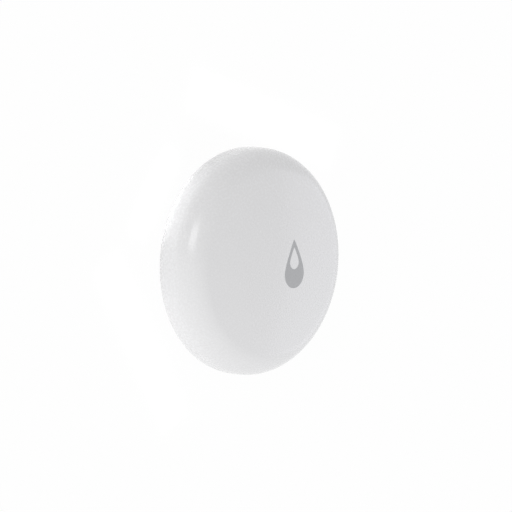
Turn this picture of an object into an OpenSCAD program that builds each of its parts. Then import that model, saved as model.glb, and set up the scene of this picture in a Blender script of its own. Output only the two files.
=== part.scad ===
// Round water leak sensor for the floor: a domed one-piece shell over a snap-in base,
// two probe screws underneath, a twist-off cover for the coin cell, and a board with a
// push switch that is pressed through a thin place in the dome.
// Millimetres. The floor is z = 0, +Z is up and the origin is under the middle of the body.

/* [Body] */
// Diameter of the body
body_d = 50; // [48:0.5:60]
// Height from the floor to the top of the dome
body_h = 15; // [14.5:0.25:20]
// Gap that the feet and probes leave under the base
stand_off = 0.6; // [0.4:0.1:1]
// Wall of the top shell
shell_wall = 1.8; // [1.4:0.1:2.2]
// Radius of the dome
dome_r = 110; // [80:5:200]
// Radius of the shoulder between dome and side
shoulder_r = 6.2; // [5:0.1:7]
// Radius of the edge between side and underside
edge_r = 4.5; // [4:0.1:4.9]

/* [Base] */
// Thickness of the base plate
plate_t = 1.8; // [1.6:0.1:2.2]
// Thickness of the ring that seals the base in the shell
shell_seal_d = 0.76; // [0.6:0.02:0.9]
// Width of a snap hook round the rim, in degrees
hook_angle = 14; // [8:1:20]
// Diameter of a moulded foot where it meets the base
foot_d = 3.2; // [2:0.1:4]

/* [Battery] */
// Diameter of the coin cell
cell_d = 20; // [18:0.1:20.4]
// Thickness of the coin cell
cell_h = 3.2; // [2:0.1:3.6]
// Thickness of the cover's plate
cover_t = 1.55; // [1.4:0.05:2]
// Turn between locked and free, in degrees
cover_turn = 35; // [30:1:40]
// Width of a locking lug, in degrees
lug_angle = 22; // [14:1:24]
// Thickness of the ring that seals the cover
cover_seal_d = 0.76; // [0.6:0.02:0.8]
// Length of the coin slot
coin_slot_l = 15; // [10:0.5:18]
// Width of the coin slot
coin_slot_w = 2.2; // [1.8:0.1:3]
// Depth of the coin slot
coin_slot_depth = 0.9; // [0.6:0.05:1]
// Thickness of the contact springs' strip
strip_t = 0.2; // [0.15:0.05:0.25]

/* [Probes] */
// Diameter of a probe's head
probe_head_d = 4.2; // [3.6:0.1:4.4]
// Diameter of a probe's shank
probe_d = 2; // [1.6:0.1:2.2]
// Thickness of the ring that seals a probe
probe_seal_d = 0.8; // [0.6:0.05:0.85]

/* [Board] */
// Thickness of the circuit board
board_t = 1; // [0.8:0.1:1.6]
// Shank diameter of a board screw
screw_d = 1.6; // [1.4:0.1:2]
// Head diameter of a board screw
screw_head_d = 3; // [2.6:0.1:3.4]

/* [Button] */
// Distance of the button from the middle of the body
button_x = 5.9; // [4:0.1:7]
// Travel of the button
button_travel = 0.25; // [0.15:0.05:0.35]
// Diameter of the thin place in the dome
membrane_d = 14; // [11:0.5:16]
// Thickness of the dome at the thin place
membrane_t = 0.9; // [0.7:0.1:1.2]
// Diameter of the plunger
plunger_d = 6.2; // [5.8:0.1:7]

/* [Hidden] */
$fn = 96;

// Clearances
fit_gap = 0.1;       // between moulded pieces that sit in each other
run_gap = 0.2;       // between pieces that turn in each other
touch_gap = 0.02;    // between a seal or spring and what it presses on
over = 1;            // how far a cutting shape runs past what it cuts
embed = 0.3;         // how far one shape reaches into the shape that it grows from
break_edge = 0.2;    // bevel along the outer edges of the underside

// Outline of the body: one centre for each arc, shared by the outer and inner wall
body_r = body_d / 2;
z_base = stand_off;
dome_c = [0, body_h - dome_r];
shoulder_c = [body_r - shoulder_r,
              dome_c.y + sqrt(pow(dome_r - shoulder_r, 2) - pow(body_r - shoulder_r, 2))];
edge_c = [body_r - edge_r, z_base + edge_r];
shoulder_angle = atan2(shoulder_c.y - dome_c.y, shoulder_c.x);
mouth_r = edge_c.x;

// Base plate, which fills the shell's mouth
base_r = mouth_r - fit_gap;
z_plate = z_base + plate_t;
shell_seal_r = base_r + fit_gap - touch_gap - shell_seal_d / 2;
shell_groove_r = shell_seal_r - shell_seal_d / 2 - touch_gap;
z_shell_seal = z_base + plate_t / 2;

// Snap hooks, which reach over the shell's lip
hook_count = 4;
hook_t = 1;
hook_h = 1.4;
hook_reach = 0.6;
hook_ro = shell_groove_r + run_gap;
hook_ri = hook_ro - hook_t;
z_hook = z_base + max(shell_wall, plate_t) + run_gap;

// Battery cover, its neck with the locking lugs, and the ledge that they lock on
cell_side_gap = 0.5;
neck_wall = 1;
lug_depth = 1;
lug_t = 1;
lug_count = 3;
ledge_t = 1.2;
cover_rim = 0.7;
collar_wall = 1;
collar_lip = 0.6;
neck_ri = cell_d / 2 + cell_side_gap;
neck_ro = neck_ri + neck_wall;
ledge_ri = neck_ro + run_gap;
lug_ro = ledge_ri + lug_depth;
cover_r = lug_ro + cover_rim;
cover_bore_r = cover_r + fit_gap;
collar_ro = cover_bore_r + collar_wall;
z_cover = z_base + cover_t;
z_ledge = z_cover + fit_gap;
z_ledge_top = z_ledge + ledge_t;
z_lug = z_ledge_top + fit_gap;
z_neck = z_lug + lug_t;
z_collar = z_neck + collar_lip;
slot_play = 4;       // degrees by which an entry slot is wider than its lug
stop_angle = 4;      // degrees that a stop is wide
stop_play = 2;       // degrees between a locked lug and its stop

// Seal of the cover, in a groove of the cover's plate
cover_seal_r = ledge_ri + lug_depth / 2 + run_gap / 2;
z_cover_seal = z_ledge - touch_gap - cover_seal_d / 2;
seal_side_gap = 0.05;

// Coin cell on a low ring inside the cover
cell_ring_h = 0.55;
cell_ring_t = 1;
cell_ring_r = cell_d * 0.35;
cell_rest_gap = 0.05;
cell_edge = 0.3;
cell_cap_inset = 1.2;
cell_cap_h = 0.3;
z_cell = z_cover + cell_ring_h + cell_rest_gap;
z_cell_top = z_cell + cell_h;

// Circuit board above the cell, on three posts
contact_room = 1.25;
z_board = z_cell_top + contact_room;
z_board_top = z_board + board_t;
board_edge_gap = 0.9;
board_r = base_r - board_edge_gap;
rim_w = shell_groove_r - collar_ro;
rim_mid_r = collar_ro + rim_w / 2;
post_d = 2.75 * screw_d;
post_angles = [0, 120, 240];
screw_gap = 0.02;
screw_hole_gap = 0.15;
screw_head_h = 0.64 * screw_d;
screw_l = 0.83 * (z_board - z_plate);
screw_recess_w = 0.32 * screw_d;
screw_recess_l = 0.6 * screw_head_d;
screw_recess_depth = 0.5 * screw_head_h;

// Probes stand opposite each other, and the feet stand between them
probe_angles = [90, 270];
foot_angles = [0, 180];
foot_tip_d = 0.75 * foot_d;
probe_seat_h = 1;
probe_chamfer = 0.12 * probe_head_d;
probe_recess_w = 0.19 * probe_head_d;
probe_recess_l = 0.62 * probe_head_d;
probe_recess_depth = 0.17 * probe_head_d;
probe_bore_gap = 0.1;
probe_head_gap = 0.15;
probe_boss_wall = 0.65 * probe_d;
probe_boss_h = 1.8;
probe_thread_gap = 0.02;
terminal_wall = 0.6 * probe_d;
probe_end_gap = 0.6;
z_probe_seat = z_base + probe_seat_h;
probe_seal_r = probe_d / 2 + touch_gap + probe_seal_d / 2;
probe_groove_r = probe_seal_r + probe_seal_d / 2 + touch_gap;
z_probe_groove = z_probe_seat + probe_seal_d + 2 * touch_gap;
z_boss = z_probe_groove + probe_boss_h;
probe_boss_r = probe_groove_r + probe_boss_wall;

// Push switch, its stem, the plunger over it and the tube that guides the plunger
button_room = dome_c.y + sqrt(pow(dome_r - membrane_t, 2) - pow(button_x, 2)) - z_board_top;
switch_l = 4;
switch_w = 3;
switch_h = 0.35 * button_room;
stem_d = 1.8;
stem_gap = 0.1;
stem_proud = 0.09 * button_room;
stem_depth = 0.14 * button_room;
guide_wall = 1;
guide_r = plunger_d / 2 + fit_gap;
guide_h = 0.54 * button_room;
plunger_gap = 0.1;
plunger_nose_d = 3;
plunger_nose_h = 0.14 * button_room;
z_switch = z_board_top + switch_h;
z_stem = z_switch + stem_proud;

// Parts on the board
led_size = [1.6, 0.8, 0.6];
led_gap = 0.6;
led_y = switch_w / 2 + led_gap + led_size.y / 2;
chip_size = [6, 6, 0.9];
chip_at = [-7, 4];
crystal_size = [3.2, 2.5, 0.8];
crystal_at = [-7, -3];
small_size = [1, 0.5, 0.5];
small_pitch = 1.6;
capacitor_count = 6;
capacitor_row_at = [-11, 9.5];
resistor_count = 5;
resistor_row_at = [-10, -6.5];
antenna_t = 0.05;
antenna_w = 0.8;
antenna_pitch = 1.9;
antenna_turns = 4;
antenna_depth = 3.4;
antenna_edge_gap = 2.6;
antenna_x = -board_r + antenna_edge_gap;

// Contact springs under the board
minus_w = 3;
minus_pad_l = 4;
minus_reach = 4.5;
minus_curl = 1.5;
minus_curl_rise = 0.33;
plus_w = 4;
plus_pad_l = 2.8;
plus_angle = 180;
plus_gap = 0.05;
plus_above_neck = 0.2;

// Colours
shell_white = "#dcdcdc";
base_white = "#d6d6d4";
seal_grey = "#5a5d60";
steel = "#b9bcbe";
brass = "#c2a25a";
board_green = "#2f6b46";
chip_black = "#26282a";
silicone = "#e8ebec";
ceramic = "#b8a17c";

// A round wall between two radii and two heights
module ring(r_in, r_out, z0, z1) {
    rotate_extrude() translate([r_in, z0]) square([r_out - r_in, z1 - z0]);
}

// A ring cut to an angle, centred on the direction "at"
module ring_piece(r_in, r_out, z0, z1, at, wide) {
    rotate([0, 0, at - wide / 2])
        rotate_extrude(angle = wide) translate([r_in, z0]) square([r_out - r_in, z1 - z0]);
}

// A sealing ring of round section
module seal_ring(r, thick, z) {
    rotate_extrude() translate([r, z]) circle(d = thick);
}

// Puts its children at a distance from the middle, in each of the directions
module around(directions, r) {
    for (a = directions) rotate([0, 0, a]) translate([r, 0, 0]) children();
}

// Points along an arc, without its last point
function arc(c, r, from, to, steps) = [
    for (i = [0 : steps - 1])
        let (a = from + (to - from) * i / steps)
            c + r * [cos(a), sin(a)]];

// The body's outline from the middle of the dome over the shoulder, the side and the edge
// to the mouth, moved inwards by an even wall
function body_line(inset, fine) = concat(
    arc(dome_c, dome_r - inset, 90, shoulder_angle, fine),
    arc(shoulder_c, shoulder_r - inset, shoulder_angle, 0, 2 * fine),
    [[body_r - inset, shoulder_c.y]],
    arc(edge_c, edge_r - inset, 0, -90, 2 * fine),
    [[mouth_r, z_base + inset]]);

// A list of points in the other order
function backwards(points) = [for (i = [len(points) - 1 : -1 : 0]) points[i]];

// Everything under the dome when the dome is moved inwards by an even wall
module under_dome(inset) {
    rotate_extrude() intersection() {
        translate(dome_c) circle(dome_r - inset, $fn = 720);
        translate([0, z_base]) square([body_r - shoulder_r, body_h]);
    }
}

// Domed shell, open underneath, with the thin place that lets the button be pressed
module top_shell() {
    color(shell_white) difference() {
        rotate_extrude() polygon(concat(body_line(0, 10), backwards(body_line(shell_wall, 8))));
        intersection() {
            translate([button_x, 0, z_board_top]) cylinder(d = membrane_d, h = body_h);
            under_dome(membrane_t);
        }
    }
}

// One snap hook: a short arm on the plate with a barb that reaches outwards
module snap_hook(at) {
    rotate([0, 0, at - hook_angle / 2]) rotate_extrude(angle = hook_angle) polygon([
        [hook_ri, z_plate - embed], [hook_ro, z_plate - embed], [hook_ro, z_hook],
        [mouth_r + hook_reach, z_hook], [mouth_r + hook_reach, z_hook + hook_h / 2],
        [hook_ro, z_hook + hook_h], [hook_ri, z_hook + hook_h]]);
}

// Base plate with the collar round the battery, screw posts, probe bosses, feet and hooks
module bottom_shell() {
    lug_step = 360 / lug_count;
    color(base_white) difference() {
        union() {
            rotate_extrude() polygon([
                [cover_bore_r + break_edge, z_base], [base_r - break_edge, z_base],
                [base_r, z_base + break_edge], [base_r, z_plate], [cover_bore_r, z_plate],
                [cover_bore_r, z_base + break_edge]]);
            ring(cover_bore_r, collar_ro, z_plate - embed, z_collar);
            ring(ledge_ri, cover_bore_r + embed, z_ledge, z_ledge_top);
            for (i = [0 : lug_count - 1])
                ring_piece(ledge_ri + embed, cover_bore_r + embed, z_ledge_top - embed, z_neck,
                           i * lug_step + lug_angle / 2 + stop_play + stop_angle / 2, stop_angle);
            around(post_angles, rim_mid_r)
                translate([0, 0, z_plate - embed]) cylinder(d = post_d, h = z_board - z_plate + embed);
            around(probe_angles, rim_mid_r)
                translate([0, 0, z_plate - embed]) cylinder(r = probe_boss_r, h = z_boss - z_plate + embed);
            around(foot_angles, rim_mid_r) rotate_extrude() polygon([
                [0, 0], [foot_tip_d / 2, 0], [foot_d / 2, z_base], [foot_d / 2, z_base + embed],
                [0, z_base + embed]]);
            for (i = [0 : hook_count - 1]) snap_hook((i + 0.5) * 360 / hook_count);
        }
        ring(shell_groove_r, base_r + over, z_shell_seal - shell_seal_d / 2 - seal_side_gap,
             z_shell_seal + shell_seal_d / 2 + seal_side_gap);
        for (i = [0 : lug_count - 1])
            ring_piece(ledge_ri - over, lug_ro + run_gap, z_ledge - over, z_ledge_top + over,
                       i * lug_step - cover_turn, lug_angle + slot_play);
        around(post_angles, rim_mid_r)
            translate([0, 0, z_board - screw_l]) cylinder(d = screw_d + 2 * screw_gap, h = screw_l + over);
        around(probe_angles, rim_mid_r) {
            translate([0, 0, z_base - over])
                cylinder(r = probe_head_d / 2 + probe_head_gap, h = probe_seat_h + over);
            cylinder(r = probe_groove_r, h = z_probe_groove);
            cylinder(d = probe_d + 2 * probe_bore_gap, h = z_boss + over);
        }
    }
}

// Ring that seals the base in the shell's mouth
module shell_seal() {
    color(seal_grey) seal_ring(shell_seal_r, shell_seal_d, z_shell_seal);
}

// Twist-off cover: plate with the coin slot, neck with lugs, and the ring that the cell lies on
module battery_cover() {
    color(base_white) difference() {
        union() {
            rotate_extrude() polygon([
                [0, z_base], [cover_r - break_edge, z_base], [cover_r, z_base + break_edge],
                [cover_r, z_cover], [0, z_cover]]);
            ring(neck_ri, neck_ro, z_cover - embed, z_neck);
            ring(cell_ring_r - cell_ring_t, cell_ring_r, z_cover - embed, z_cover + cell_ring_h);
            for (i = [0 : lug_count - 1])
                ring_piece(neck_ro - embed, lug_ro, z_lug, z_neck, i * 360 / lug_count, lug_angle);
        }
        ring(cover_seal_r - cover_seal_d / 2 - seal_side_gap,
             cover_seal_r + cover_seal_d / 2 + seal_side_gap,
             z_cover_seal - cover_seal_d / 2 - touch_gap, z_cover + over);
        translate([0, 0, z_base - over]) linear_extrude(height = coin_slot_depth + over) {
            square([coin_slot_l - coin_slot_w, coin_slot_w], center = true);
            for (side = [-1, 1])
                translate([side * (coin_slot_l - coin_slot_w) / 2, 0]) circle(d = coin_slot_w);
        }
    }
}

// Ring that seals the cover under the ledge
module cover_seal() {
    color(seal_grey) seal_ring(cover_seal_r, cover_seal_d, z_cover_seal);
}

// Coin cell, plus face down on the cover and minus face up to the board
module coin_cell() {
    cell_r = cell_d / 2;
    can_h = cell_h - cell_cap_h;
    color(steel) rotate_extrude() translate([0, z_cell]) polygon([
        [0, 0], [cell_r - cell_edge, 0], [cell_r, cell_edge], [cell_r, can_h - cell_edge],
        [cell_r - cell_edge, can_h], [cell_r - cell_cap_inset, can_h], [cell_r - cell_cap_inset, cell_h],
        [0, cell_h]]);
}

// Leaf spring from the board down to the middle of the cell
module battery_contact_minus() {
    z_touch = z_cell_top + touch_gap + strip_t;
    top = [[-minus_pad_l - minus_reach, z_board], [-minus_reach, z_board], [0, z_touch],
           [minus_curl, z_touch + minus_curl_rise]];
    under = [for (point = backwards(top)) point - [0, strip_t]];
    color(brass) rotate([90, 0, 0])
        linear_extrude(height = minus_w, center = true) polygon(concat(top, under));
}

// Bent strip from the board down to the side of the cell
module battery_contact_plus() {
    side = cell_d / 2 + plus_gap;
    foot = z_neck + plus_above_neck;
    color(brass) rotate([0, 0, plus_angle]) rotate([90, 0, 0])
        linear_extrude(height = plus_w, center = true)
            polygon([[side, foot], [side + strip_t, foot], [side + strip_t, z_board - strip_t],
                     [side + plus_pad_l, z_board - strip_t], [side + plus_pad_l, z_board],
                     [side, z_board]]);
}

// Round board with a hole over each post
module circuit_board() {
    color(board_green) difference() {
        translate([0, 0, z_board]) cylinder(r = board_r, h = board_t);
        around(post_angles, rim_mid_r)
            translate([0, 0, z_board - over])
                cylinder(d = screw_d + 2 * screw_hole_gap, h = board_t + 2 * over);
    }
}

// Cross-shaped cut for a screwdriver
module cross_cut(w, l, depth) {
    translate([-l / 2, -w / 2, 0]) cube([l, w, depth]);
    translate([-w / 2, -l / 2, 0]) cube([w, l, depth]);
}

// Screws that hold the board on the posts
module board_screws() {
    color(steel) around(post_angles, rim_mid_r) difference() {
        union() {
            translate([0, 0, z_board_top]) cylinder(d = screw_head_d, h = screw_head_h);
            translate([0, 0, z_board - screw_l + touch_gap]) cylinder(d = screw_d, h = screw_l + board_t);
        }
        translate([0, 0, z_board_top + screw_head_h - screw_recess_depth])
            cross_cut(screw_recess_w, screw_recess_l, screw_recess_depth + over);
    }
}

// The two probes: screws whose heads stand on the floor and carry the current through the water
module probe_screws() {
    head_r = probe_head_d / 2;
    shank_r = probe_d / 2;
    color(steel) around(probe_angles, rim_mid_r) difference() {
        rotate_extrude() polygon([
            [0, 0], [head_r - probe_chamfer, 0], [head_r, probe_chamfer], [head_r, z_probe_seat],
            [shank_r, z_probe_seat], [shank_r, z_board - probe_end_gap], [0, z_board - probe_end_gap]]);
        translate([0, 0, -over])
            cross_cut(probe_recess_w, probe_recess_l, probe_recess_depth + over);
    }
}

// Rings that seal the probes under their heads
module probe_seals() {
    color(seal_grey) around(probe_angles, rim_mid_r)
        seal_ring(probe_seal_r, probe_seal_d, z_probe_seat + touch_gap + probe_seal_d / 2);
}

// Brass nuts on the underside of the board, into which the probes screw
module probe_terminals() {
    color(brass) around(probe_angles, rim_mid_r)
        ring(probe_d / 2 + probe_thread_gap, probe_d / 2 + terminal_wall, z_boss, z_board);
}

// Housing of the push switch
module tact_switch() {
    color(chip_black) translate([button_x, 0, z_board_top]) difference() {
        translate([-switch_l / 2, -switch_w / 2, 0]) cube([switch_l, switch_w, switch_h]);
        translate([0, 0, switch_h - stem_depth - button_travel - stem_gap])
            cylinder(d = stem_d + 2 * stem_gap, h = switch_h);
    }
}

// Stem of the push switch
module tact_stem() {
    color(base_white) translate([button_x, 0, z_switch - stem_depth])
        cylinder(d = stem_d, h = stem_depth + stem_proud);
}

// Tube on the board that guides the plunger
module plunger_guide() {
    color(base_white) translate([button_x, 0, 0])
        ring(guide_r, guide_r + guide_wall, z_board_top, z_board_top + guide_h);
}

// Clear plunger between the dome and the switch, which also carries the lamp's light up
module button_plunger() {
    color(silicone) intersection() {
        translate([button_x, 0, z_stem]) {
            cylinder(d = plunger_nose_d, h = plunger_nose_h + embed);
            translate([0, 0, plunger_nose_h]) cylinder(d = plunger_d, h = body_h);
        }
        under_dome(membrane_t + plunger_gap);
    }
}

// A block on the board
module board_block(at, size) {
    translate([at.x - size.x / 2, at.y - size.y / 2, z_board_top]) cube(size);
}

// A row of equal small blocks on the board
module board_row(at, count) {
    for (i = [0 : count - 1]) board_block(at + [0, -i * small_pitch], small_size);
}

// Lamp beside the switch, under the plunger
module status_led() {
    color("white") board_block([button_x, led_y], led_size);
}

// Radio processor
module radio_chip() {
    color(chip_black) board_block(chip_at, chip_size);
}

// Crystal of the radio
module crystal() {
    color(steel) board_block(crystal_at, crystal_size);
}

// Printed antenna: a winding copper track along the edge of the board
module board_antenna() {
    start_y = -antenna_turns / 2 * antenna_pitch;
    last = antenna_turns - 1;
    color(brass) translate([antenna_x, start_y, z_board_top]) for (i = [0 : last]) {
        translate([0, i * antenna_pitch, 0]) cube([antenna_depth, antenna_w, antenna_t]);
        translate([i % 2 == 0 ? antenna_depth - antenna_w : 0, i * antenna_pitch, 0])
            cube([antenna_w, i == last ? antenna_w : antenna_pitch + antenna_w, antenna_t]);
    }
}

// Small capacitors in a row
module chip_capacitors() {
    color(ceramic) board_row(capacitor_row_at, capacitor_count);
}

// Small resistors in a row
module chip_resistors() {
    color(chip_black) board_row(resistor_row_at, resistor_count);
}

top_shell();
bottom_shell();
shell_seal();
battery_cover();
cover_seal();
coin_cell();
battery_contact_minus();
battery_contact_plus();
circuit_board();
board_screws();
probe_screws();
probe_seals();
probe_terminals();
tact_switch();
tact_stem();
plunger_guide();
button_plunger();
status_led();
radio_chip();
crystal();
board_antenna();
chip_capacitors();
chip_resistors();
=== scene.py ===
"""Looks of a round white water leak sensor that lies on a floor.

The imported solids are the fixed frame. The shell, its printed drop and the battery cover are worked out again
as fine surfaces, and every other piece keeps its solid and gets a finish. Sizes are in millimetres where
nothing else is said, and MM turns them to metres.
"""

import logging
from dataclasses import dataclass
from enum import Enum

import bmesh
import bpy
import numpy as np
from mathutils import Matrix, Vector


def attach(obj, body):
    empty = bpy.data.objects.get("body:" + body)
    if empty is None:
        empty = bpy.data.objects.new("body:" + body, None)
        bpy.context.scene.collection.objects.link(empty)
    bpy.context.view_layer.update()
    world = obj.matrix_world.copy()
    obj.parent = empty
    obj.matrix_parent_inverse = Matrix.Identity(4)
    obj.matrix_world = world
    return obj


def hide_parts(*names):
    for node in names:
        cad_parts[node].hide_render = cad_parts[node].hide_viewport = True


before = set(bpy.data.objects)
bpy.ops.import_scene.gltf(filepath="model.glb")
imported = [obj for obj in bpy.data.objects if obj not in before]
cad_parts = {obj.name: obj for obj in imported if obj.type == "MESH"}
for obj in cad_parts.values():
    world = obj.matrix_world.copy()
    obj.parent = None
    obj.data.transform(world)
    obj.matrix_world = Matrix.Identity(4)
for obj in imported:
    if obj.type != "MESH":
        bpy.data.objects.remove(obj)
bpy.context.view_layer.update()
MM = 0.001
# Radius of the body, and heights of its top and its underside over the floor, from the shell's solid.
# Rounding to a tenth leaves out the facets of the solid's mesh.
SHELL_BOX = (np.array(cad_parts["top_shell"].bound_box) / MM).round(1)
BODY_RADIUS, BODY_HEIGHT, STAND_OFF = SHELL_BOX[:, 0].max(), SHELL_BOX[:, 2].max(), SHELL_BOX[:, 2].min()
# Middle part of a noise's range, which is spread over a colour's drift or over a band of roughness.
COLOUR_SPAN = (0.25, 0.75)
ROUGH_SPAN = (0.3, 0.7)
# How many times finer blotches are laid over those of a colour's drift.
DRIFT_DETAIL = 3.0
LOG = logging.getLogger("leak_sensor")
Tree = bpy.types.NodeTree
Node = bpy.types.Node
Socket = bpy.types.NodeSocket


def linear(colour: str) -> tuple[float, float, float, float]:
    """Turn an sRGB hex colour to linear light, by the standard's straight foot and power curve.

    Args:
        colour: Hex value such as "#EDEDED".

    Returns:
        Linear red, green and blue, and an alpha of 1.
    """
    parts = np.array([int(colour[i:i + 2], 16) for i in (1, 3, 5)]) / 255.0
    light = np.where(parts <= 0.04045, parts / 12.92, ((parts + 0.055) / 1.055) ** 2.4)
    return (*light.tolist(), 1.0)


def add_node(tree: Tree, kind: str, sockets: dict | None = None, **settings: object) -> Node:
    """Add a node with its settings, values and links.

    Args:
        tree: Node tree that takes the node.
        kind: Blender's name of the node type.
        sockets: Input name or number to a plain value, or to the output socket that feeds it.
        settings: Properties of the node itself.

    Returns:
        The new node.
    """
    node = tree.nodes.new(kind)
    for key, value in settings.items():
        setattr(node, key, value)
    for key, value in (sockets or {}).items():
        if isinstance(value, Socket):
            tree.links.new(value, node.inputs[key])
        else:
            node.inputs[key].default_value = value
    return node


def per_metre(size_mm: float) -> float:
    """Scale of a noise pattern whose blotches are this many millimetres across."""
    return 1.0 / (size_mm * MM)


@dataclass(frozen=True)
class Finish:
    """A surface as it was made: a colour that drifts, and a pattern that changes roughness and height.

    Attributes:
        name: Common name of the material and how its surface was made.
        colour: Mean colour of the clean surface, sRGB hex.
        roughness: Mean roughness.
        drift: Share by which the colour drifts lighter and darker.
        drift_mm: Size of the drift's blotches.
        spread: Half of the band of roughness.
        grain_mm: Size of the pattern's grain.
        detail: How many times finer grain is laid over it.
        depth_mm: Height of the pattern.
        ior: Index of refraction.
    """

    name: str
    colour: str
    roughness: float
    drift: float = 0.012
    drift_mm: float = 7.0
    spread: float = 0.03
    grain_mm: float = 0.35
    detail: float = 2.0
    depth_mm: float = 0.004
    ior: float = 1.5

    def material(self) -> bpy.types.Material:
        """Make the Blender material, or find it when it is made already.

        Returns:
            The material.
        """
        found = bpy.data.materials.get(self.name)
        if found is not None:
            return found
        made = bpy.data.materials.new(self.name)
        made.use_nodes = True
        made.diffuse_color = linear(self.colour)
        tree = made.node_tree
        tree.nodes.clear()
        place = add_node(tree, "ShaderNodeTexCoord").outputs["Object"]
        height = self.pattern(tree, place)
        bump = add_node(tree, "ShaderNodeBump", {"Height": height, "Distance": self.depth_mm * MM})
        shader = add_node(tree, "ShaderNodeBsdfPrincipled", {
            "Base Color": self.tint(tree, place), "Roughness": self.gloss(tree, place, height),
            "Normal": bump.outputs["Normal"], **self.constants()})
        add_node(tree, "ShaderNodeOutputMaterial", {"Surface": shader.outputs["BSDF"]})
        return made

    def pattern(self, tree: Tree, place: Socket) -> Socket:
        """Make the pattern that the making of the surface left: soft blotches, unless a finish has its own.

        Args:
            tree: Node tree of the material.
            place: Object coordinates in metres.

        Returns:
            A height of about 0 to 1.
        """
        grain = add_node(tree, "ShaderNodeTexNoise", {"Vector": place, "Scale": per_metre(self.grain_mm),
                                                      "Detail": self.detail})
        return grain.outputs["Fac"]

    def constants(self) -> dict[str, object]:
        """Values that are the same all over the surface, by the shader's own sockets."""
        return {"IOR": self.ior}

    def tint(self, tree: Tree, place: Socket) -> Socket:
        """Make a colour that drifts a little lighter and darker over the surface.

        Args:
            tree: Node tree of the material.
            place: Object coordinates in metres.

        Returns:
            The colour.
        """
        noise = add_node(tree, "ShaderNodeTexNoise", {"Vector": place, "Scale": per_metre(self.drift_mm),
                                                      "Detail": DRIFT_DETAIL})
        ramp = add_node(tree, "ShaderNodeValToRGB", {"Fac": noise.outputs["Fac"]})
        mean = np.array(linear(self.colour)[:3])
        shares = (-self.drift, self.drift)
        for stop, position, share in zip(ramp.color_ramp.elements, COLOUR_SPAN, shares):
            stop.position = position
            stop.color = (*np.clip(mean * (1.0 + share), 0.0, 1.0).tolist(), 1.0)
        return ramp.outputs["Color"]

    def gloss(self, tree: Tree, place: Socket, height: Socket) -> Socket:
        """Spread the pattern over a band of roughness.

        Args:
            tree: Node tree of the material.
            place: Object coordinates in metres.
            height: Pattern of about 0 to 1.

        Returns:
            The roughness.
        """
        band = add_node(tree, "ShaderNodeMapRange", {
            "Value": height, "From Min": ROUGH_SPAN[0], "From Max": ROUGH_SPAN[1],
            "To Min": self.roughness - self.spread, "To Max": self.roughness + self.spread})
        return band.outputs["Result"]


@dataclass(frozen=True)
class MouldedPlastic(Finish):
    """Injection-moulded plastic: an even colour under the fine skin that the steel mould leaves.

    Attributes:
        coat: Weight of the smooth outer skin.
        coat_roughness: Roughness of that skin.
        glow: Weight of light that scatters under the surface.
        glow_mm: Reach of that light, for red, green and blue.
    """

    ior: float = 1.53
    coat: float = 0.0
    coat_roughness: float = 0.1
    glow: float = 0.0
    glow_mm: tuple[float, float, float] = (1.2, 1.1, 1.0)

    def constants(self) -> dict[str, object]:
        """Refraction, outer skin and inner glow."""
        return {**super().constants(), "Coat Weight": self.coat, "Coat Roughness": self.coat_roughness,
                "Subsurface Weight": self.glow, "Subsurface Scale": 1.0,
                "Subsurface Radius": tuple(reach * MM for reach in self.glow_mm)}


@dataclass(frozen=True)
class PadPrint(Finish):
    """Pad-printed ink: a thin even film with the faint mottle of the silicone pad."""

    drift: float = 0.02
    drift_mm: float = 0.5
    spread: float = 0.04
    grain_mm: float = 0.5
    depth_mm: float = 0.002


class MetalGrain(Enum):
    """How a metal surface was worked."""

    TUMBLED = "tumbled"
    ROLLED = "rolled"
    TURNED = "turned"


@dataclass(frozen=True)
class Metal(Finish):
    """Bare or plated metal with the marks of its making.

    Attributes:
        grain: How the surface was worked.
        axis_mm: Distance of a turned piece's own axis from the middle, along Y.
        streak: Share to which a pattern is slowed along a rolled streak.
    """

    drift: float = 0.04
    drift_mm: float = 3.0
    spread: float = 0.08
    detail: float = 3.0
    grain: MetalGrain = MetalGrain.TUMBLED
    axis_mm: float = 0.0
    streak: float = 0.06

    def rings(self, tree: Tree, place: Socket) -> Socket:
        """Rings of a lathe: noise over the distance from the piece's axis, at either side of the middle.

        Args:
            tree: Node tree of the material.
            place: Object coordinates in metres.

        Returns:
            A height of about 0 to 1.
        """
        parts = add_node(tree, "ShaderNodeSeparateXYZ", {0: place})
        side = add_node(tree, "ShaderNodeMath", {0: parts.outputs["Y"]}, operation="ABSOLUTE")
        own = add_node(tree, "ShaderNodeMath", {0: side.outputs[0], 1: self.axis_mm * MM},
                       operation="SUBTRACT")
        flat = add_node(tree, "ShaderNodeCombineXYZ", {"X": parts.outputs["X"], "Y": own.outputs[0]})
        reach = add_node(tree, "ShaderNodeVectorMath", {0: flat.outputs[0]}, operation="LENGTH")
        rings = add_node(tree, "ShaderNodeTexNoise", {
            "W": reach.outputs["Value"], "Scale": per_metre(self.grain_mm), "Detail": self.detail},
            noise_dimensions="1D")
        return rings.outputs["Fac"]

    def pattern(self, tree: Tree, place: Socket) -> Socket:
        """Marks of the working: rings of a lathe, long streaks of the rolls, or tumbled blotches.

        Args:
            tree: Node tree of the material.
            place: Object coordinates in metres.

        Returns:
            A height of about 0 to 1.
        """
        if self.grain is MetalGrain.TURNED:
            return self.rings(tree, place)
        along = self.streak if self.grain is MetalGrain.ROLLED else 1.0
        slowed = add_node(tree, "ShaderNodeMapping", {"Vector": place, "Scale": (1.0, along, 1.0)})
        return super().pattern(tree, slowed.outputs["Vector"])

    def constants(self) -> dict[str, object]:
        """Refraction, and metal all through."""
        return {**super().constants(), "Metallic": 1.0}


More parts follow.
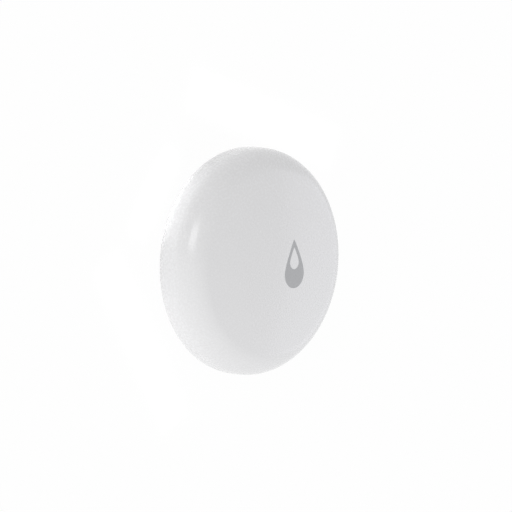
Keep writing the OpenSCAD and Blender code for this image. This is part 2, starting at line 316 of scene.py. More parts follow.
@dataclass(frozen=True)
class Elastomer(Finish):
    """Moulded silicone or rubber: dull under a dusty bloom, and milky where it is clear.

    Attributes:
        clear: Share of light that passes through.
    """

    drift: float = 0.05
    drift_mm: float = 2.0
    spread: float = 0.06
    grain_mm: float = 0.8
    detail: float = 3.0
    depth_mm: float = 0.003
    ior: float = 1.41
    clear: float = 0.0

    def constants(self) -> dict[str, object]:
        """Refraction and clearness."""
        return {**super().constants(), "Transmission Weight": self.clear}


@dataclass(frozen=True)
class SolderMask(Finish):
    """Solder mask over copper tracks: the tracks show as lighter lines under a green film.

    Attributes:
        track_colour: Colour of the film over copper, sRGB hex.
        track_mm: Spacing of the tracks.
        track_wide_mm: Width of a track.
        track_soft: Share of that width which fades out.
        run_mm: Length of a straight run of track.
    """

    spread: float = 0.05
    grain_mm: float = 0.6
    depth_mm: float = 0.03
    track_colour: str = "#3E8A58"
    track_mm: float = 1.3
    track_wide_mm: float = 0.12
    track_soft: float = 0.2
    run_mm: float = 7.8

    def tracks(self, tree: Tree, place: Socket) -> Node:
        """Tracks as the joints of a running bond, which are straight runs with short links between them."""
        return add_node(tree, "ShaderNodeTexBrick", {
            "Vector": place, "Scale": 1.0, "Mortar Size": self.track_wide_mm * MM,
            "Mortar Smooth": self.track_soft, "Brick Width": self.run_mm * MM,
            "Row Height": self.track_mm * MM, "Mortar": linear(self.track_colour),
            "Color1": linear(self.colour), "Color2": linear(self.colour)})

    def pattern(self, tree: Tree, place: Socket) -> Socket:
        """Tracks that stand a little proud."""
        return self.tracks(tree, place).outputs["Fac"]

    def tint(self, tree: Tree, place: Socket) -> Socket:
        """Green film, lighter over the tracks."""
        return self.tracks(tree, place).outputs["Color"]

    def gloss(self, tree: Tree, place: Socket, height: Socket) -> Socket:
        """Roughness by the ripple of the film, which runs over the tracks."""
        return super().gloss(tree, place, super().pattern(tree, place))


# White ABS from a polished mould: an even white with a soft gloss that blurs the lamps.
SHELL_ABS = MouldedPlastic("polished_white_abs", "#EBEBEC", 0.27, drift=0.006, grain_mm=0.6, depth_mm=0.0006,
                           coat=0.36, coat_roughness=0.17)
# White ABS from a spark-eroded mould: the same white, dull, with pits that are coarser than real, to show.
BASE_ABS = MouldedPlastic("sparked_white_abs", "#E4E4E3", 0.55, grain_mm=0.28, depth_mm=0.012, drift=0.015)
# Grey pad-print ink: a thin satin film.
SIGN_INK = PadPrint("grey_pad_print_ink", "#B6B7B9", 0.42)
# Grey silicone cord of the seals: dull, with a dusty bloom.
SEAL_SILICONE = Elastomer("grey_seal_silicone", "#5A5D60", 0.6)
# Milky silicone of the plunger: dull, and lets light through.
PLUNGER_SILICONE = Elastomer("milky_silicone", "#E8EBEC", 0.45, clear=0.5)
# Nickel-plated deep-drawn steel of the cell: bright, with fine rolling streaks.
CELL_NICKEL = Metal("nickel_plated_steel", "#D3D4D2", 0.26, grain=MetalGrain.ROLLED, grain_mm=0.25)
# Turned stainless steel of the probes: bright, with lathe rings. The rings are coarser than real, to show.
PROBE_STEEL = Metal("turned_stainless_steel", "#CFD0D1", 0.24, grain=MetalGrain.TURNED, grain_mm=0.16,
                    detail=1.0, axis_mm=17.1)
# Zinc-plated steel of the screws: greyer, with a tumbled haze.
SCREW_ZINC = Metal("zinc_plated_steel", "#BFC3C8", 0.32, grain_mm=0.4)
# Phosphor bronze strip: warm, with rolling streaks.
SPRING_BRONZE = Metal("rolled_phosphor_bronze", "#CFA877", 0.28, grain=MetalGrain.ROLLED, grain_mm=0.2)
# Turned brass of the nuts: yellow, with lathe rings that are as coarse.
NUT_BRASS = Metal("turned_brass", "#D9B866", 0.26, grain=MetalGrain.TURNED, grain_mm=0.16, detail=1.0,
                  axis_mm=17.1)
# Gold-plated copper track: warm and bright, with a plated haze.
TRACK_GOLD = Metal("gold_plated_copper", "#E0B060", 0.3, grain_mm=0.3)
# Plated can of the crystal: plain and bright.
CRYSTAL_CAN = Metal("plated_steel_can", "#C9CBCB", 0.25, grain=MetalGrain.ROLLED, grain_mm=0.15)
# Glass-fibre board under green solder mask: a satin green with lighter lines.
BOARD_MASK = SolderMask("green_solder_mask", "#1F5E3A", 0.38)
# Black glass-filled nylon of the switch: dull.
SWITCH_NYLON = MouldedPlastic("black_filled_nylon", "#26282A", 0.5, grain_mm=0.2, depth_mm=0.01)
# Pale nylon of the switch's stem: waxy.
STEM_NYLON = MouldedPlastic("natural_nylon", "#DCDAD2", 0.45, grain_mm=0.3, glow=0.1)
# White polycarbonate of the guide tube: hard and half glossy.
GUIDE_PC = MouldedPlastic("white_polycarbonate", "#E6E6E4", 0.35, grain_mm=0.4, ior=1.58)
# Clear resin of the lamp over a white cup: glossy and cloudy.
LAMP_RESIN = MouldedPlastic("clear_cast_resin", "#F1EFE2", 0.18, grain_mm=0.4, glow=0.2)
# Black moulding compound of chips: matt, with a sandy grain.
CHIP_RESIN = MouldedPlastic("black_moulding_compound", "#232426", 0.58, grain_mm=0.15, depth_mm=0.01)
# Fired ceramic of the capacitors: tan and slightly glazed.
CHIP_CERAMIC = MouldedPlastic("fired_tan_ceramic", "#A9926C", 0.4, grain_mm=0.2, drift=0.05)


def arc(centre: tuple[float, float], radius: float, start: float, stop: float, count: int) -> np.ndarray:
    """Points along an arc: the centre plus the radius times the cosine and sine of an even run of angles.

    Args:
        centre: Middle of the arc.
        radius: Its radius.
        start: First angle, in degrees.
        stop: Last angle, in degrees.
        count: Number of points.

    Returns:
        Points of shape (count, 2).
    """
    angle = np.radians(np.linspace(start, stop, count))
    return np.stack([centre[0] + radius * np.cos(angle), centre[1] + radius * np.sin(angle)], axis=-1)


def full_turn(count: int) -> np.ndarray:
    """Even angles round a full turn, in radians, without the last one, which is the first again."""
    return np.linspace(0.0, 2.0 * np.pi, count, endpoint=False)


def revolve(profile: np.ndarray, count: int) -> np.ndarray:
    """Carry a profile round the Z axis: x and y are its radius times the cosine and sine of an even turn.

    Args:
        profile: Points (radius, height).
        count: Number of steps in the turn.

    Returns:
        Grid of points of shape (profile, count, 3).
    """
    turn = full_turn(count)
    radius, height = profile[:, 0, None], profile[:, 1, None]
    level = np.broadcast_to(height, (len(profile), count))
    return np.stack([radius * np.cos(turn), radius * np.sin(turn), level], axis=-1)


def grid_faces(rows: int, cols: int, rows_close: bool, first: int) -> np.ndarray:
    """Quads between neighbouring rows and columns of a grid whose columns close on themselves.

    Args:
        rows: Number of rows.
        cols: Number of columns.
        rows_close: Whether the last row joins the first.
        first: Number of the grid's first point in the mesh.

    Returns:
        Point numbers of shape (faces, 4).
    """
    steps = rows if rows_close else rows - 1
    row, col = np.meshgrid(np.arange(steps), np.arange(cols), indexing="ij")
    row_next, col_next = (row + 1) % rows, (col + 1) % cols
    quad = [row * cols + col, row * cols + col_next, row_next * cols + col_next, row_next * cols + col]
    return first + np.stack(quad, axis=-1).reshape(-1, 4)


def grid_piece(name: str, grids: list[tuple[np.ndarray, bool]], finish: Finish, body: str,
               crease: float = 40.0, merge: float = 1e-4) -> bpy.types.Object:
    """Make one piece out of closed grids of points, and put it on its body.

    Args:
        name: Name of the piece.
        grids: Grids of points, each with whether its rows close.
        finish: Its finish.
        body: Body that it rides on.
        crease: Angle in degrees past which an edge stays sharp.
        merge: Distance within which points are one, such as those of a row that ends on the axis.

    Returns:
        The new object.
    """
    starts = np.cumsum([0] + [points.shape[0] * points.shape[1] for points, _ in grids])
    spots = np.concatenate([points.reshape(-1, 3) for points, _ in grids]) * MM
    faces = np.concatenate([grid_faces(points.shape[0], points.shape[1], closes, int(start))
                            for (points, closes), start in zip(grids, starts)])
    mesh = bpy.data.meshes.new(name)
    mesh.from_pydata(spots.tolist(), [], faces.tolist())
    work = bmesh.new()
    work.from_mesh(mesh)
    bmesh.ops.remove_doubles(work, verts=work.verts, dist=merge * MM)
    bmesh.ops.recalc_face_normals(work, faces=work.faces)
    work.to_mesh(mesh)
    work.free()
    mesh.polygons.foreach_set("use_smooth", np.ones(len(mesh.polygons), dtype=bool))
    mesh.set_sharp_from_angle(angle=float(np.radians(crease)))
    mesh.materials.append(finish.material())
    piece = bpy.data.objects.new(name, mesh)
    bpy.context.scene.collection.objects.link(piece)
    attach(piece, body)
    LOG.info("%s rides on %s: %d faces, %s", name, body, len(mesh.polygons), finish.name)
    return piece


@dataclass(frozen=True)
class Drop:
    """Outline of a drop: a half-round bulb, and on each side a bow that rises and bends in to the tip.

    Attributes:
        middle: Middle of the bulb.
        tip: Height of the tip over that middle.
        radius: Radius of the bulb.
        pull: Height of the bows' pull points, as a share of the tip's.
        count: Points on each bow, and on each half of the bulb.
    """

    middle: tuple[float, float]
    tip: float
    radius: float
    pull: float = 0.27
    count: int = 48

    def outline(self) -> np.ndarray:
        """Work out the outline. Each bow is a quadratic curve that starts straight up from the bulb's side.

        Returns:
            Closed outline of shape (4 * count - 4, 2), anticlockwise from the bottom.
        """
        bulb = arc((0.0, 0.0), self.radius, -90.0, 0.0, self.count)
        share = np.linspace(0.0, 1.0, self.count)[:, None]
        knots = [[self.radius, 0.0], [self.radius, self.tip * self.pull], [0.0, self.tip]]
        side, pull, top = np.array(knots)
        bow = (1.0 - share) ** 2 * side + 2.0 * share * (1.0 - share) * pull + share ** 2 * top
        half = np.concatenate([bulb, bow[1:]])
        other = half[-2:0:-1] * np.array([-1.0, 1.0])
        return np.concatenate([half, other]) + np.array(self.middle)


@dataclass
class DomedShell:
    """The white shell and the drop that is printed over its button.

    Attributes:
        radius: Radius of the body.
        height: Height of the dome's top over the floor.
        low: Height of the underside over the floor.
        dome: Radius of the dome.
        shoulder: Radius of the shoulder.
        edge: Radius of the lower edge.
        wall: Wall of the shell.
        button_x: Distance of the button from the axis, along X.
        thin: Wall over the button.
        thin_radius: Radius of the thin place.
        lip: Rounding of the mouth's corners.
        ink: Height of the printed film over the dome, and its depth in the dome.
        outer_drop: Outer edge of the print.
        inner_drop: Inner edge of the print.
        steps: Points round the axis.
        outer_points: Points on each arc of the outer section.
        inner_points: Points on each arc of the inner section.
        lip_points: Points on each rounding of the mouth.
        slide_rows: Rows between the inner shoulder and the thin place.
        thin_rows: Rows on the thin place.
        film_rows: Rows across the print.
    """

    radius: float = BODY_RADIUS
    height: float = BODY_HEIGHT
    low: float = STAND_OFF
    dome: float = 110.0
    shoulder: float = 6.2
    edge: float = 4.5
    wall: float = 1.8
    button_x: float = 5.9
    thin: float = 0.9
    thin_radius: float = 7.0
    lip: float = 0.15
    ink: float = 0.03
    outer_drop: Drop = Drop((5.39, -2.67), 7.63, 3.15)
    inner_drop: Drop = Drop((5.36, -0.14), 3.42, 1.485)
    steps: int = 320
    outer_points: int = 40
    inner_points: int = 24
    lip_points: int = 6
    slide_rows: int = 11
    thin_rows: int = 8
    film_rows: int = 12

    @property
    def dome_z(self) -> float:
        """Height of the dome's centre."""
        return self.height - self.dome

    def outline(self, inset: float, count: int) -> tuple[np.ndarray, np.ndarray, np.ndarray]:
        """Arcs of the section at an even distance inside the surface: dome, shoulder and lower edge.

        Args:
            inset: Distance inside the surface.
            count: Points on each arc.

        Returns:
            The three runs of points, from the top down.
        """
        side = self.radius - self.shoulder
        rise = float(np.sqrt((self.dome - self.shoulder) ** 2 - side ** 2))
        join = float(np.degrees(np.arctan2(rise, side)))
        top = arc((0.0, self.dome_z), self.dome - inset, 90.0, join, count)
        turn = arc((side, self.dome_z + rise), self.shoulder - inset, join, 0.0, count)
        under = arc((self.radius - self.edge, self.low + self.edge), self.edge - inset, 0.0, -90.0, count)
        return top, turn, under

    def section(self) -> np.ndarray:
        """Section of the wall: out over the dome, round the lip and back inside up to the inner dome.

        Returns:
            Points (radius, height).
        """
        top, turn, under = self.outline(0.0, self.outer_points)
        _, in_turn, in_under = self.outline(self.wall, self.inner_points)
        mouth = self.radius - self.edge + self.lip
        lip_low = arc((mouth, self.low + self.lip), self.lip, -90.0, -180.0, self.lip_points)
        lip_high = arc((mouth, self.low + self.wall - self.lip), self.lip, 180.0, 90.0, self.lip_points)
        out = [top, turn[1:], under[under[:, 0] > mouth], lip_low]
        back = [lip_high, in_under[in_under[:, 0] > mouth][::-1], in_turn[::-1]]
        section = np.concatenate(out + back)
        section[0, 0] = 0.0
        return section

    def inner_dome(self) -> np.ndarray:
        """Inner face of the dome, with the thin place that the button presses.

        Each row is a circle. Its middle slides from the axis to the button while it narrows to the rim of
        the thin place. There the rows step up to the thin wall, and they close on the button's middle. A
        point's height is that of the dome less the wall.

        Returns:
            Grid of points of shape (rows, steps, 3), from the shoulder inwards.
        """
        start = self.outline(self.wall, self.inner_points)[0][-1, 0]
        slide = np.linspace(0.0, 1.0, self.slide_rows + 1)[1:, None]
        close = np.linspace(1.0, 0.0, self.thin_rows)[:, None]
        aside = np.concatenate([slide, np.ones_like(close)]) * self.button_x
        reach = np.concatenate([start + (self.thin_radius - start) * slide, self.thin_radius * close])
        wall = np.concatenate([np.full_like(slide, self.wall), np.full_like(close, self.thin)])
        turn = full_turn(self.steps)
        x, y = aside + reach * np.cos(turn), reach * np.sin(turn)
        return np.stack([x, y, self.dome_z + np.sqrt((self.dome - wall) ** 2 - x ** 2 - y ** 2)], axis=-1)

    def sign(self) -> np.ndarray:
        """Ring of ink between the outer and the inner drop, as a thin closed band on the dome.

        Flat points are shared out between the two outlines. Each is then moved straight out from the dome's
        centre to the dome's radius, plus the ink over the film and less the ink under it.

        Returns:
            Grid of points of shape (rows, outline, 3): rows go over the film from the inner to the outer
            edge and back under it.
        """
        share = np.linspace(0.0, 1.0, self.film_rows)[:, None, None]
        band = self.inner_drop.outline() * (1.0 - share) + self.outer_drop.outline() * share
        flat = np.concatenate([band, band[::-1]])
        high = np.sqrt(self.dome ** 2 - (flat ** 2).sum(axis=-1, keepdims=True))
        out = np.concatenate([flat, high], axis=-1) / self.dome
        lift = np.repeat([self.ink, -self.ink], self.film_rows)[:, None, None]
        return out * (self.dome + lift) + np.array([0.0, 0.0, self.dome_z])

    def build(self) -> list[bpy.types.Object]:
        """Make the shell and its sign.

        Returns:
            The two pieces.
        """
        wall = np.concatenate([revolve(self.section(), self.steps), self.inner_dome()])
        shell = grid_piece("shell_skin", [(wall, False)], SHELL_ABS, "housing")
        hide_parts("top_shell")
        sign = grid_piece("drop_sign", [(self.sign(), True)], SIGN_INK, "housing")
        return [shell, sign]


@dataclass
class BatteryCover:
    """The twist-off cover: plate with a coin slot, neck with locking lugs, and the ring under the cell.

    Attributes:
        radius: Radius of the plate.
        low: Height of the plate's underside over the floor.
        top: Height of its upper side.
        edge: Rounding of its lower edge.
        top_edge: Rounding of its upper edge.
        slot_length: Length of the coin slot.
        slot_width: Width of the coin slot.
        slot_depth: Depth of the coin slot.
        slot_round: Rounding of the slot's floor and mouth.
        slot_wait: Half of the turn that an outline of the slot spends at each end, in degrees.
        groove: Inner and outer radius of the seal's groove.
        groove_low: Height of the groove's floor.
        neck: Inner and outer radius of the neck.
        neck_top: Height of the neck.
        neck_round: Rounding of the neck's lip.
        ring: Inner and outer radius of the ring under the cell.
        ring_top: Height of that ring.
        lug_out: Radius that the lugs reach to.
        lug_low: Height of the lugs' lower side.
        lug_angle: Width of a lug, in degrees.
        lug_count: Number of lugs.
        lug_power: Power that squares the round section of a lug: 1 leaves it round.
        lead_in: Height by which the leading end of a lug slopes up.
        lead_start: Place where that slope starts, as a share of the lug's width from its middle.
        steps: Points round the axis.
        face_rows: Rows between the slot and the plate's edge.
        edge_points: Points on the plate's lower edge.
        top_points: Points on its upper edge.
        round_points: Points on each of the other roundings.
        lug_points: Points round a lug's section.
        lug_rows: Sections along a lug.
    """

    radius: float = 13.4
    low: float = STAND_OFF
    top: float = 2.15
    edge: float = 0.25
    top_edge: float = 0.1
    slot_length: float = 15.0
    slot_width: float = 2.2
    slot_depth: float = 0.9
    slot_round: float = 0.15
    slot_wait: float = 30.0
    groove: tuple[float, float] = (11.87, 12.73)
    groove_low: float = 1.45
    neck: tuple[float, float] = (10.5, 11.5)
    neck_top: float = 4.55
    neck_round: float = 0.2
    ring: tuple[float, float] = (6.0, 7.0)
    ring_top: float = 2.7
    lug_out: float = 12.7
    lug_low: float = 3.55
    lug_angle: float = 22.0
    lug_count: int = 3
    lug_power: float = 0.25
    lead_in: float = 0.35
    lead_start: float = 0.2
    steps: int = 288
    face_rows: int = 6
    edge_points: int = 8
    top_points: int = 5
    round_points: int = 6
    lug_points: int = 48
    lug_rows: int = 25

    def slot(self) -> np.ndarray:
        """Coin slot from its floor to its mouth: round-ended outlines, each as wide as the slot's section.

        Each point runs along the slot's middle line and waits at the line's ends. A reach is added that
        points across the line and swings round while the point waits.

        Returns:
            Grid of points of shape (section, steps, 3).
        """
        half, floor, soft = self.slot_width / 2.0, self.low + self.slot_depth, self.slot_round
        section = np.concatenate([
            [[0.0, floor]],
            arc((half - soft, floor - soft), soft, 90.0, 0.0, self.round_points),
            arc((half + soft, self.low + soft), soft, 180.0, 270.0, self.round_points)])
        turn = (np.linspace(0.0, 360.0, self.steps, endpoint=False) + 180.0) % 360.0 - 180.0
        wait, line = self.slot_wait, self.slot_length / 2.0 - half
        knots = [-180.0, wait - 180.0, -wait, wait, 180.0 - wait, 180.0]
        along = np.interp(turn, knots, [-line, -line, line, line, -line, -line])
        swing = np.radians(np.interp(turn, knots, [-180.0, -90.0, -90.0, 90.0, 90.0, 180.0]))
        reach, height = section[:, 0, None], section[:, 1, None]
        level = np.broadcast_to(height, (len(section), self.steps))
        return np.stack([along + reach * np.cos(swing), reach * np.sin(swing), level], axis=-1)

    def upper(self) -> np.ndarray:
        """Section of the turned part: round the plate's edge and over groove, neck and ring.

        Returns:
            Points (radius, height).
        """
        lip, (neck_in, neck_out) = self.neck_round, self.neck
        (groove_in, groove_out), (ring_in, ring_out) = self.groove, self.ring
        side, brow = self.radius - self.edge, self.radius - self.top_edge
        return np.concatenate([
            arc((side, self.low + self.edge), self.edge, -90.0, 0.0, self.edge_points),
            arc((brow, self.top - self.top_edge), self.top_edge, 0.0, 90.0, self.top_points),
            [[groove_out, self.top], [groove_out, self.groove_low]],
            [[groove_in, self.groove_low], [groove_in, self.top], [neck_out, self.top]],
            arc((neck_out - lip, self.neck_top - lip), lip, 0.0, 90.0, self.round_points),
            arc((neck_in + lip, self.neck_top - lip), lip, 90.0, 180.0, self.round_points),
            [[neck_in, self.top], [ring_out, self.top], [ring_out, self.ring_top]],
            [[ring_in, self.ring_top], [ring_in, self.top], [0.0, self.top]]])

    def plate(self) -> np.ndarray:
        """Plate and neck as one closed surface: slot, face blended from slot to circle, and turned part.

        Returns:
            Grid of points of shape (rows, steps, 3).
        """
        slot, turned = self.slot(), revolve(self.upper(), self.steps)
        share = np.linspace(0.0, 1.0, self.face_rows + 2)[1:-1, None, None]
        face = slot[-1] * (1.0 - share) + turned[0] * share
        return np.concatenate([slot, face, turned])

    def lug(self, middle: float) -> np.ndarray:
        """One locking lug: a soft-cornered section carried along an arc, with a slope under its leading end.

        The section is a superellipse: cosine and sine of an even turn, each raised to a small power with
        its sign kept. The first and the last row draw in to the section's middle, which closes the ends.

        Args:
            middle: Angle of the lug's middle, in degrees.

        Returns:
            Grid of points of shape (rows, section, 3).
        """
        turn = full_turn(self.lug_points)
        circle = np.stack([np.cos(turn), np.sin(turn)])
        across, up = np.sign(circle) * np.abs(circle) ** self.lug_power
        share = np.linspace(-0.5, 0.5, self.lug_rows)[:, None]
        slope = np.clip((share - self.lead_start) / (0.5 - self.lead_start), 0.0, 1.0)
        low = self.lug_low + self.lead_in * slope ** 2 * (3.0 - 2.0 * slope)
        inner = self.neck[1] - self.neck_round
        radius = (self.lug_out + inner) / 2.0 + across * (self.lug_out - inner) / 2.0
        height = (self.neck_top + low) / 2.0 + up * (self.neck_top - low) / 2.0
        angle = np.radians(middle + share * self.lug_angle)
        rows = np.stack([radius * np.cos(angle), radius * np.sin(angle), height], axis=-1)
        ends = np.broadcast_to(rows.mean(axis=1, keepdims=True), rows.shape)
        return np.concatenate([ends[:1], rows, ends[-1:]])

    def build(self) -> bpy.types.Object:
        """Make the cover.

        Returns:
            The new piece.
        """
        lugs = [(self.lug(at), False) for at in np.arange(self.lug_count) * 360.0 / self.lug_count]
        cover = grid_piece("twist_cover", [(self.plate(), False), *lugs], BASE_ABS, "battery_cover")
        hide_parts("battery_cover")
        return cover


@dataclass
class TurnMarks:
    """Raised marks: a bar on the cover that points to a dot when it is locked and to a ring when it is free.

    Attributes:
        low: Height of the underside over the floor.
        proud: Height of the marks.
        locked: Angle of the dot, in degrees.
        turn: Angle between the dot and the ring, in degrees.
        dot_reach: Distance of dot and ring from the middle.
        dot: Radius of dot and ring.
        ring_half: Half the width of the ring's line.
        bar_reach: Distances of the bar's ends from the middle.
        bar: Half the width of the bar.
        steps: Points round a mark.
        cap_points: Points from a mark's middle to its side.
        ring_points: Points round the ring's line.
    """

    low: float = STAND_OFF
    proud: float = 0.1
    locked: float = 62.0
    turn: float = 35.0
    dot_reach: float = 15.2
    dot: float = 0.6
    ring_half: float = 0.12
    bar_reach: tuple[float, float] = (10.6, 12.4)
    bar: float = 0.3
    steps: int = 48
    cap_points: int = 10
    ring_points: int = 24

    def place(self, grid: np.ndarray, angle: float, reach: float) -> np.ndarray:
        """Move a grid of points out along X, and turn it round the axis.

        Args:
            grid: Points of shape (..., 3).
            angle: The turn, in degrees.
            reach: The move.

        Returns:
            Points of the same shape.
        """
        x, y = grid[..., 0] + reach, grid[..., 1]
        cosine, sine = np.cos(np.radians(angle)), np.sin(np.radians(angle))
        return np.stack([x * cosine - y * sine, x * sine + y * cosine, grid[..., 2]], axis=-1)

    def button(self, half: float) -> np.ndarray:
        """Low round mark: a quarter of an ellipse from its middle to its side, turned round on a flat root.

        Args:
            half: Half the width of the mark.

        Returns:
            Grid of points of shape (rows, steps, 3).
        """
        cap = arc((0.0, 0.0), 1.0, 90.0, 0.0, self.cap_points) * [half, -self.proud]
        root = [[half, self.proud], [0.0, self.proud]]
        return revolve(np.concatenate([cap, root]) + [0.0, self.low], self.steps)

    def ring(self) -> np.ndarray:
        """Ring of an elliptic section: cosine and sine of an even turn, by its half width and height.

        Returns:
            Grid of points of shape (section, steps, 3).
        """
        turn = full_turn(self.ring_points)
        section = np.stack([np.cos(turn) * self.ring_half, np.sin(turn) * self.proud], axis=-1)
        return revolve(section + [self.dot - self.ring_half, self.low], self.steps)

    def long_bar(self) -> np.ndarray:
        """Bar with round ends: a round mark whose two halves are moved apart along X.

        Returns:
            Grid of points of shape (rows, steps, 3).
        """
        stretch = (self.bar_reach[1] - self.bar_reach[0]) / 2.0 - self.bar
        side = np.sign(np.round(np.cos(full_turn(self.steps)), 6))
        return self.button(self.bar) + np.stack([side * stretch, side * 0.0, side * 0.0], axis=-1)

    def build(self) -> list[bpy.types.Object]:
        """Make the marks of the base and of the cover.

        Returns:
            The two pieces.
        """
        base = [(self.place(self.button(self.dot), self.locked, self.dot_reach), False),
                (self.place(self.ring(), self.locked - self.turn, self.dot_reach), True)]
        cover = [(self.place(self.long_bar(), self.locked, sum(self.bar_reach) / 2.0), False)]
        return [grid_piece("base_marks", base, BASE_ABS, "housing"),
                grid_piece("cover_mark", cover, BASE_ABS, "battery_cover")]


# Finish of each solid that keeps its CAD shape.
SOLID_FINISHES: dict[str, Finish] = {
    "bottom_shell": BASE_ABS, "shell_seal": SEAL_SILICONE, "cover_seal": SEAL_SILICONE,
    "probe_seals": SEAL_SILICONE, "coin_cell": CELL_NICKEL, "battery_contact_minus": SPRING_BRONZE,
    "battery_contact_plus": SPRING_BRONZE, "circuit_board": BOARD_MASK, "board_screws": SCREW_ZINC,
    "probe_screws": PROBE_STEEL, "probe_terminals": NUT_BRASS, "tact_switch": SWITCH_NYLON,
    "tact_stem": STEM_NYLON, "plunger_guide": GUIDE_PC, "button_plunger": PLUNGER_SILICONE,
    "status_led": LAMP_RESIN, "radio_chip": CHIP_RESIN, "crystal": CRYSTAL_CAN,
    "board_antenna": TRACK_GOLD, "chip_capacitors": CHIP_CERAMIC, "chip_resistors": CHIP_RESIN}


@dataclass
class InnerParts:
    """The solids that keep their CAD shape.

    Attributes:
        finishes: Finish of each solid, by its node.
    """

    finishes: dict[str, Finish]

    def dress(self) -> None:
        """Put the finish on each solid."""
        for node, finish in self.finishes.items():
            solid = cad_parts[node]
            solid.data.materials.clear()
            solid.data.materials.append(finish.material())
            LOG.info("%s keeps its solid: %s", node, finish.name)


@dataclass(frozen=True)
class SoftLamp:
    """A flat soft lamp that points at the sensor.

    Attributes:
        name: Its name.
        place: Its place from the aim, in metres along the camera's right, up and back.
        size: Its two sides, in metres.
        power: Its power in watts.
        colour: Colour of its light, sRGB hex.
        mirrored: Whether glossy surfaces show it.
    """

    name: str
    place: tuple[float, float, float]
    size: tuple[float, float]
    power: float
    colour: str = "#FFFFFF"
    mirrored: bool = True


@dataclass(frozen=True)
class FloorGlow:
    """A low strip that shines down on the floor beside the sensor, so that the floor lights the lower rim.

    Attributes:
        name: Its name.
        angle: Its direction from the sensor, in degrees.
        reach: Distance of its middle from the dome's axis.
        size: Its width away from the rim and its length along the rim.
        power: Its power in watts.
        height: Its height over the floor.
    """

    name: str
    angle: float
    reach: float
    size: tuple[float, float]
    power: float
    height: float = 1.5


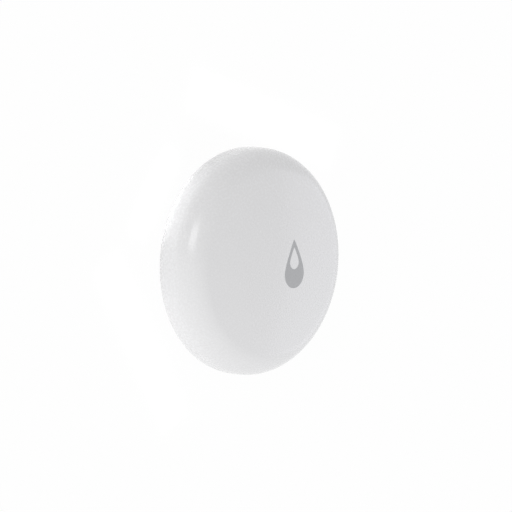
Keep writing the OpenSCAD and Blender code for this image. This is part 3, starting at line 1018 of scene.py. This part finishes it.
@dataclass
class Studio:
    """Floor, lamps, world and camera.

    Attributes:
        turn: Angle of the view off the dome's axis, round the sign's upright, in degrees.
        tip: Angle of the view towards the sign's top, in degrees.
        frame_pixels: Width and height of the photograph.
        pixels_per_mm: Scale of the photograph at the aim.
        aim_height: Height of the point on the axis that the photograph shows at aim_pixel.
        aim_pixel: Its place in the photograph.
        distance: Distance of the camera.
        sensor: Width of the camera's sensor.
        clip: Nearest and farthest distance that the camera shows, in metres.
        lamps: The soft lamps.
        glows: The strips over the floor.
        level: Mean strength of the world's light.
        lean_up: Strength that the world's light gains towards the camera's up.
        lean_x: Strength that it gains towards +X.
        floor_half: Half the width of the floor, in metres.
        floor_paint: Colour of the floor, sRGB hex.
        floor_white: Share of plain white in the floor as it is seen. The rest is paint, which takes shadow.
    """

    turn: float = 46.53
    tip: float = 6.54
    frame_pixels: float = 512.0
    pixels_per_mm: float = 4.565
    aim_height: float = 7.45
    aim_pixel: tuple[float, float] = (253.02, 261.2)
    distance: float = 2000.0
    sensor: float = 36.0
    clip: tuple[float, float] = (0.05, 20.0)
    lamps: tuple[SoftLamp, ...] = (
        SoftLamp("camera_softbox", (-0.182, 0.392, 1.33), (0.52, 0.62), 3.0),
        SoftLamp("right_fill", (0.89567, -0.06997, -0.44324), (0.80, 0.70), 1.2, colour="#F6F6FF"),
        SoftLamp("top_fill", (0.438, 1.321, -0.149), (0.50, 0.20), 2.6, mirrored=False))
    glows: tuple[FloorGlow, ...] = (
        FloorGlow("upper_left_glow", 145.0, 28.6, (4.0, 20.0), 0.0007),
        FloorGlow("left_glow", 210.0, 32.0, (10.0, 44.0), 0.0008),
        FloorGlow("top_glow", 70.0, 32.0, (10.0, 50.0), 0.0011))
    level: float = 0.63
    lean_up: float = -0.47
    lean_x: float = -0.22
    floor_half: float = 6.0
    floor_paint: str = "#F4F4F4"
    floor_white: float = 0.97

    def axes(self) -> tuple[Vector, Vector, Vector]:
        """Work out how the camera is held in the part's frame.

        Returns:
            Its right, up and backward directions.
        """
        turn, tip = np.radians(self.turn), np.radians(self.tip)
        right = Vector((np.cos(turn), 0.0, np.sin(turn)))
        up = Vector((np.sin(turn) * np.sin(tip), np.cos(tip), -np.cos(turn) * np.sin(tip)))
        back = Vector((-np.sin(turn) * np.cos(tip), np.sin(tip), np.cos(turn) * np.cos(tip)))
        return right, up, back

    def camera(self) -> None:
        """Set up the camera of the photograph: a long lens, so that lines stay nearly parallel."""
        right, up, back = self.axes()
        aside = (self.frame_pixels / 2.0 - self.aim_pixel[0]) / self.pixels_per_mm
        above = (self.aim_pixel[1] - self.frame_pixels / 2.0) / self.pixels_per_mm
        target = (Vector((0.0, 0.0, self.aim_height)) + right * aside + up * above) * MM
        data = bpy.data.cameras.new("photo_camera")
        data.sensor_width = self.sensor
        data.lens = self.sensor * self.distance * self.pixels_per_mm / self.frame_pixels
        data.clip_start, data.clip_end = self.clip
        holder = bpy.data.objects.new("photo_camera", data)
        aim = Matrix((right, up, back)).transposed().to_4x4()
        holder.matrix_world = Matrix.Translation(target + back * self.distance * MM) @ aim
        bpy.context.scene.collection.objects.link(holder)
        bpy.context.scene.camera = holder

    def hang(self, lamp: SoftLamp | FloorGlow, size: tuple[float, float], spot: Vector, back: Vector,
             spin: float = 0.0) -> bpy.types.Object:
        """Hang a flat lamp that the camera doesn't see.

        Args:
            lamp: The lamp.
            size: Its two sides, in metres.
            spot: Its place, in metres.
            back: Direction against its beam.
            spin: Its turn round the beam, in degrees.

        Returns:
            The new object.
        """
        data = bpy.data.lights.new(lamp.name, "AREA")
        data.shape, data.energy = "RECTANGLE", lamp.power
        data.size, data.size_y = size
        hung = bpy.data.objects.new(lamp.name, data)
        aim = back.to_track_quat("Z", "Y").to_matrix().to_4x4()
        roll = Matrix.Rotation(float(np.radians(spin)), 4, "Z")
        hung.matrix_world = Matrix.Translation(spot) @ aim @ roll
        hung.visible_camera = False
        bpy.context.scene.collection.objects.link(hung)
        return hung

    def light(self) -> None:
        """Hang the soft lamps round the aim, and the strips over the floor."""
        middle = Vector((0.0, 0.0, self.aim_height * MM))
        for lamp in self.lamps:
            away = sum((axis * share for axis, share in zip(self.axes(), lamp.place)), Vector())
            hung = self.hang(lamp, lamp.size, middle + away, away)
            hung.data.color = linear(lamp.colour)[:3]
            hung.visible_glossy = lamp.mirrored
        for glow in self.glows:
            turn = np.radians(glow.angle)
            spot = Vector((glow.reach * np.cos(turn), glow.reach * np.sin(turn), glow.height)) * MM
            size = (glow.size[0] * MM, glow.size[1] * MM)
            self.hang(glow, size, spot, Vector((0.0, 0.0, 1.0)), glow.angle)

    def seen(self, tree: Tree) -> Socket:
        """Tell the rays that are seen: 1 for those from the camera, by a mirror or through glass, else 0.

        Args:
            tree: Node tree that asks.

        Returns:
            The answer.
        """
        path = add_node(tree, "ShaderNodeLightPath").outputs
        pair = add_node(tree, "ShaderNodeMath", {0: path["Is Camera Ray"], 1: path["Is Glossy Ray"]},
                        operation="MAXIMUM")
        every = add_node(tree, "ShaderNodeMath", {0: pair.outputs[0], 1: path["Is Transmission Ray"]},
                         operation="MAXIMUM")
        return every.outputs[0]

    def floor(self) -> None:
        """Lay a wide white floor that is seen as white and keeps a faint shadow."""
        half = self.floor_half
        edge = [(-half, -half, 0.0), (half, -half, 0.0), (half, half, 0.0), (-half, half, 0.0)]
        mesh = bpy.data.meshes.new("floor")
        mesh.from_pydata(edge, [], [(0, 1, 2, 3)])
        made = bpy.data.materials.new("white_floor")
        made.use_nodes = True
        tree = made.node_tree
        tree.nodes.clear()
        paint = add_node(tree, "ShaderNodeBsdfDiffuse", {"Color": linear(self.floor_paint)})
        white = add_node(tree, "ShaderNodeEmission", {"Color": linear("#FFFFFF"), "Strength": 1.0})
        share = add_node(tree, "ShaderNodeMath", {0: self.seen(tree), 1: self.floor_white},
                         operation="MULTIPLY")
        mix = add_node(tree, "ShaderNodeMixShader",
                       {0: share.outputs[0], 1: paint.outputs[0], 2: white.outputs[0]})
        add_node(tree, "ShaderNodeOutputMaterial", {"Surface": mix.outputs[0]})
        mesh.materials.append(made)
        plane = bpy.data.objects.new("floor", mesh)
        bpy.context.scene.collection.objects.link(plane)

    def world(self) -> None:
        """Surround the sensor with white light that grows along the lean, and is seen as plain white."""
        made = bpy.data.worlds.new("studio")
        bpy.context.scene.world = made
        made.use_nodes = True
        tree = made.node_tree
        tree.nodes.clear()
        lean = self.axes()[1] * self.lean_up + Vector((self.lean_x, 0.0, 0.0))
        way = add_node(tree, "ShaderNodeTexCoord").outputs["Generated"]
        along = add_node(tree, "ShaderNodeVectorMath", {0: way, 1: lean}, operation="DOT_PRODUCT")
        lit = add_node(tree, "ShaderNodeMath", {0: along.outputs["Value"], 1: self.level}, operation="ADD")
        seen = add_node(tree, "ShaderNodeMix", {"Factor": self.seen(tree), "A": lit.outputs[0], "B": 1.0},
                        data_type="FLOAT")
        light = add_node(tree, "ShaderNodeBackground",
                         {"Color": linear("#FFFFFF"), "Strength": seen.outputs["Result"]})
        add_node(tree, "ShaderNodeOutputWorld", {"Surface": light.outputs[0]})

    def build(self) -> None:
        """Set up the whole studio."""
        bpy.context.scene.view_settings.view_transform = "Standard"
        self.camera()
        self.floor()
        self.world()
        self.light()
        LOG.info("studio: floor, world, camera and %d lamps", len(self.lamps) + len(self.glows))


def main() -> None:
    """Build the sensor and its studio."""
    logging.basicConfig(level=logging.INFO, format="%(name)s: %(message)s")
    DomedShell().build()
    BatteryCover().build()
    TurnMarks().build()
    InnerParts(SOLID_FINISHES).dress()
    Studio().build()


if __name__ == "__main__":
    main()
